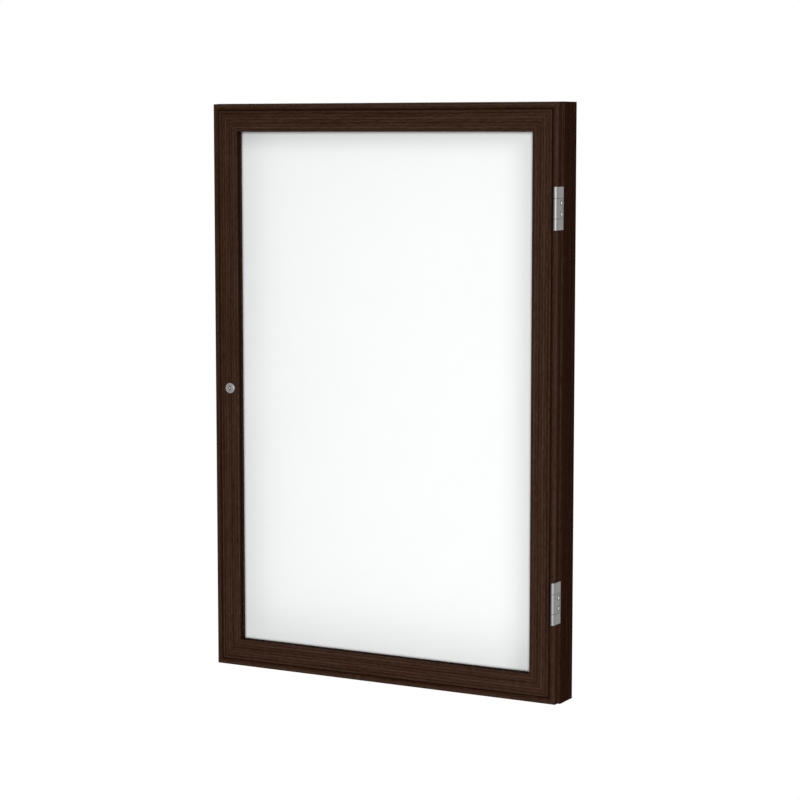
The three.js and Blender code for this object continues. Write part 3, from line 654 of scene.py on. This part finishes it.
def domed_pin(node):
    """A pin along Z: an upright cylinder, and on each end a cap that is a quarter turn of an ellipse."""
    low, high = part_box(node)
    radius = (high.x - low.x) / 2 / mm
    cylinder_half = (high.z - low.z) / 2 / mm - cap_height
    angle = np.linspace(0, np.pi / 2, cap_rows)
    cap = list(zip(radius * np.sin(angle), cylinder_half + cap_height * np.cos(angle)))
    profile = [*cap, *[(ring, -height) for ring, height in reversed(cap)]]
    rings = lathe(profile, pin_columns, (low + high) / 2, (0, 0, 1))
    stand_for(node, closed_rings(node, rings), "cabinet", zinc)


foot_screw = {"dome": 0.1, "seat_depth": 1.5, "shank_radius": 1.4, "recess_share": 0.6}
leaf_screw = {"dome": 0.7, "seat_depth": 1.7, "shank_radius": 1.6, "recess_share": 0.5}
for level in levels:
    soften(f"{level}_hinge_fixed_leaf", "cabinet", satin, leaf_edge)
    soften(f"{level}_hinge_door_leaf", "door", satin, leaf_edge)
    domed_pin(f"{level}_hinge_pin")
    for row in levels:
        screw(f"{level}_hinge_foot_screw_{row}", "cabinet", (0, -1, 0), **foot_screw)
        screw(f"{level}_hinge_leaf_screw_{row}", "door", (1, 0, 0), **leaf_screw)

# Door frame: four hollow extrusions like the cabinet's, mitred, in the same film. They have a bead and a
# groove along the outer edge of the face, and a channel inside for the glazing.

door_low = Vector(map(min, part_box("door_lock_stile")[0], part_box("door_bottom_rail")[0]))
door_high = Vector(map(max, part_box("door_hinge_stile")[1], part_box("door_top_rail")[1]))
grain_bars("door", "door", door_sheen, door_low, door_high)

# Glazing: a clear 3 mm pane, coated against glare, in a dark vinyl channel gasket whose thin lips show at
# the frame's edge. The pane mirrors more as it is seen edge on, with the fifth power of one less the cosine.

face_on_mirror = 0.003
edge_on_power = 5.0
lip_edge = 0.2

glass = Finish("clear_glass", {})
film_of_dust = glass.speckle(waves=(0.02, 0.02, 0.02), detail=3.0)
clear = glass.node("BsdfTransparent", {}, {"Color": (0.997, 0.998, 0.9975, 1.0)})
shine = glass.node("BsdfGlossy", {}, {"Color": (1.0, 1.0, 1.0, 1.0), "Roughness": 0.03})
edge_on = glass.node("LayerWeight", {}, {"Blend": 0.5}, facing)
least_mirror = face_on_mirror * (film_of_dust + noise_middle)
mirror_share = edge_on ** edge_on_power * (1 - face_on_mirror) + least_mirror
pane_surface = glass.node("MixShader", {}, {0: mirror_share, 1: clear, 2: shine})
glass.tree.links.new(pane_surface.socket, glass.output.inputs["Surface"])
glass.tree.nodes.remove(glass.shader)
dress("glazing_pane", glass)

vinyl = Finish("gasket_vinyl", {"Specular IOR Level": 0.01})
flow = vinyl.speckle(waves=(0.6, 2.0, 0.6))
vinyl.surface(
    colour=vinyl.blend(flow, srgb(24, 13, 8), srgb(33, 20, 13)),
    bump=flow,
    bump_depth=0.03,
    roughness=vinyl.span(0.6, 0.8, flow),
)
for side in ("lock", "top", "hinge", "bottom"):
    soften(f"glazing_gasket_{side}", "door", vinyl, lip_edge)

# Cam lock: a die-cast body with a satin nickel flange, a plug with a round keyway that has a centre post
# and two notches, and behind the door a washer, a nut and a steel cam on a screw.
# The post is polished by the key and made paler still as a painted highlight, the keyway is dull and
# painted dark as shade, and painted shade sits in the ring round the plug.

lock_face, flange_radius, lock_length = reach_of("lock_body", (0, -1, 0))
lock_columns = 128
flange_steps = 11
flange_thickness = 2.6
flange_round = 1.5
barrel_radius = 6.5
plug_bore = 5.35
bore_chamfer = 0.25
bore_shade_inset = 0.08
bore_shade_core = 0.1
bore_shade_reach = 0.3
bore_shade_share = 0.4
keyway_radius = 2.75
keyway_fade = 0.1
keyway_shade_start = 0.3
keyway_shade_full = 0.6
keyway_roughness = 0.5
post_radius = 1.15
post_side_fade = 0.15
post_polish_highlight_fade = 0.2
spin_waves = 6.0
spin_depth_waves = 0.2
spin_share = 0.5
plug_edge = 0.1
washer_edge = 0.1
nut_edge = 0.35
cam_edge = 0.25

nickel = Finish("satin_nickel", {"Specular IOR Level": 0.2})
nickel_x, nickel_y, nickel_z = nickel.place()
behind_face = nickel_y - lock_face[1] / mm
from_axis = nickel.length(nickel_x - lock_face[0] / mm, nickel_z - lock_face[2] / mm)
haze = nickel.speckle(waves=(1.2, 1.2, 1.2), detail=3.0)
spin_marks = nickel.noise(from_axis * spin_waves, nickel_y * spin_depth_waves, 0.0)
cast_tone = haze * (1 - spin_share) + spin_marks * spin_share
cast = nickel.blend(cast_tone, srgb(126, 127, 128), srgb(156, 156, 155))
# Polish and a painted highlight: the post's colour is near white.
on_post = nickel.between(post_radius + post_polish_highlight_fade, post_radius, from_axis)
polish_and_highlight = nickel.blend(on_post, cast, srgb(238, 239, 240))
# Painted shade in the ring round the plug.
from_bore = from_axis - (plug_bore - bore_shade_inset)
bore_shade = nickel.near(bore_shade_core, bore_shade_reach, from_bore) * bore_shade_share
bore_shaded = nickel.blend(bore_shade, polish_and_highlight, srgb(58, 58, 57))
# Painted shade in the keyway: a darker, dull colour that is not metal.
below_face = nickel.between(keyway_shade_start, keyway_shade_full, behind_face)
inside_rim = nickel.between(keyway_radius + keyway_fade, keyway_radius, from_axis)
outside_post = nickel.between(post_radius, post_radius + post_side_fade, from_axis)
in_keyway = below_face * inside_rim * outside_post
nickel.surface(
    colour=nickel.blend(in_keyway, bore_shaded, srgb(92, 90, 87)),
    bump=spin_marks,
    bump_depth=0.02,
    roughness=nickel.span(0.36, 0.52, haze) + in_keyway * keyway_roughness,
)
nickel.feed(nickel.shader.inputs["Metallic"], 1 - in_keyway)
body_profile = [
    (plug_bore, -lock_length),
    (plug_bore, -bore_chamfer),
    (plug_bore + bore_chamfer, 0),
    *arc(flange_radius - flange_round, -flange_round, flange_round, start=90, end=0, steps=flange_steps),
    (flange_radius, -flange_thickness),
    (barrel_radius, -flange_thickness),
    (barrel_radius, -lock_length),
]
body_rings = lathe(body_profile, lock_columns, lock_face, (0, -1, 0))
stand_for("lock_body", closed_rings("lock_body", body_rings), "door", nickel)
soften("lock_plug", "lock_plug", nickel, plug_edge)
soften("lock_washer", "door", zinc, washer_edge)
soften("lock_nut", "door", zinc, nut_edge)
soften("lock_cam", "lock_plug", zinc, cam_edge)
cam_screw = {"dome": 0.5, "seat_depth": 1.2, "shank_radius": 1.4, "recess_share": 0.6}
screw("cam_screw", "lock_plug", (0, 1, 0), **cam_screw)

# Camera: its place, its direction and its lens are worked out from the door's four corners in the photo.
# It looks at the hinge side from a little above.

camera_data = bpy.data.cameras.new("view")
camera_data.lens = 106.8
camera_data.sensor_width = 36.0
camera = bpy.data.objects.new("view", camera_data)
bpy.context.scene.collection.objects.link(camera)
yaw, pitch = math.radians(28.69), math.radians(6.41)
sight = Vector((-math.sin(yaw) * math.cos(pitch), math.cos(yaw) * math.cos(pitch), -math.sin(pitch)))
camera.location = (1.7966, -3.2758, 0.4095)
camera.rotation_euler = sight.to_track_quat("-Z", "Y").to_euler()
bpy.context.scene.camera = camera

# Studio: a pale floor well below the board that fades out at its rim, and an even white surround. A small
# soft lamp stands behind the camera, a large one lights the hinge side, and another one the rear.

floor_level = -1.4
floor_reach = 2.2
fade_start = 0.9
fade_end = 2.15
floor_waves = 0.01
ambient_light = 0.15


def floor_mesh(reach, level, rings=24, spokes=96):
    """A disc: rings of points at even radii, each ring a circle round the vertical axis."""
    radius = np.linspace(0, reach, rings + 1)[1:, None]
    angle = np.linspace(0, 2 * np.pi, spokes, endpoint=False)[None, :]
    points = np.stack([radius * np.cos(angle), radius * np.sin(angle), np.full((rings, spokes), level)], -1)
    index = np.arange(rings * spokes).reshape(rings, spokes)
    turned = np.roll(index, -1, 1)
    quads = np.stack([index[:-1], index[1:], turned[1:], turned[:-1]], -1).reshape(-1, 4)
    mesh = bpy.data.meshes.new("floor")
    mesh.from_pydata(points.reshape(-1, 3).tolist(), [], [*quads.tolist(), index[0].tolist()])
    return mesh


floor = bpy.data.objects.new("floor", floor_mesh(floor_reach, floor_level))
bpy.context.scene.collection.objects.link(floor)
pale = Finish("pale_floor", {"Roughness": 0.8, "Specular IOR Level": 0.1})
pale_x, pale_y, _ = pale.place()
floor_clouds = pale.noise(pale_x * floor_waves, pale_y * floor_waves, 0.0)
floor_colour = pale.blend(floor_clouds, srgb(246, 246, 245), srgb(249, 249, 248))
pale.feed(pale.shader.inputs["Base Color"], floor_colour)
faded = pale.node("MixShader", {}, {
    0: pale.between(fade_start / mm, fade_end / mm, pale.length(pale_x, pale_y)),
    1: Signal(pale, pale.shader.outputs[0]),
    2: pale.node("BsdfTransparent", {}, {}),
})
pale.tree.links.new(faded.socket, pale.output.inputs["Surface"])
floor.data.materials.append(pale.material)


def soft_lamp(name, azimuth, elevation, distance, size, level):
    """A square lamp that faces the board's centre. Azimuth 0 is straight in front and 90 at the hinge side.
    The level is how bright it alone makes a white face that is square to it. A lamp's power for that is the
    level times the square of pi times its distance."""
    turn, rise = math.radians(azimuth), math.radians(elevation)
    away = Vector((math.sin(turn) * math.cos(rise), -math.cos(turn) * math.cos(rise), math.sin(rise)))
    data = bpy.data.lights.new(name, "AREA")
    data.shape = "SQUARE"
    data.size = size
    data.energy = level * (math.pi * distance) ** 2
    lamp = bpy.data.objects.new(name, data)
    lamp.location = away * distance
    lamp.rotation_euler = (-away).to_track_quat("-Z", "Y").to_euler()
    lamp.visible_camera = False
    bpy.context.scene.collection.objects.link(lamp)


soft_lamp("front_lamp", azimuth=28.0, elevation=6.6, distance=5.8, size=0.7, level=0.695)
soft_lamp("side_lamp", azimuth=48.0, elevation=20.0, distance=16.0, size=6.0, level=0.31)
soft_lamp("rear_lamp", azimuth=205.0, elevation=30.0, distance=12.0, size=6.0, level=0.9)

world = bpy.data.worlds.new("white_surround")
world.use_nodes = True
bpy.context.scene.world = world
surround = world.node_tree.nodes["Background"]
surround.inputs["Color"].default_value = (1.0, 1.0, 1.0, 1.0)
rays = world.node_tree.nodes.new("ShaderNodeLightPath")
seen = rays.outputs["Is Camera Ray"]
for ray in ("Is Glossy Ray", "Is Transmission Ray"):
    either = world.node_tree.nodes.new("ShaderNodeMath")
    either.operation = "MAXIMUM"
    world.node_tree.links.new(seen, either.inputs[0])
    world.node_tree.links.new(rays.outputs[ray], either.inputs[1])
    seen = either.outputs[0]
strength = world.node_tree.nodes.new("ShaderNodeMapRange")
strength.inputs["To Min"].default_value = ambient_light
strength.inputs["To Max"].default_value = 1.0
world.node_tree.links.new(seen, strength.inputs["Value"])
world.node_tree.links.new(strength.outputs[0], surround.inputs["Strength"])
bpy.context.scene.view_settings.view_transform = "Standard"
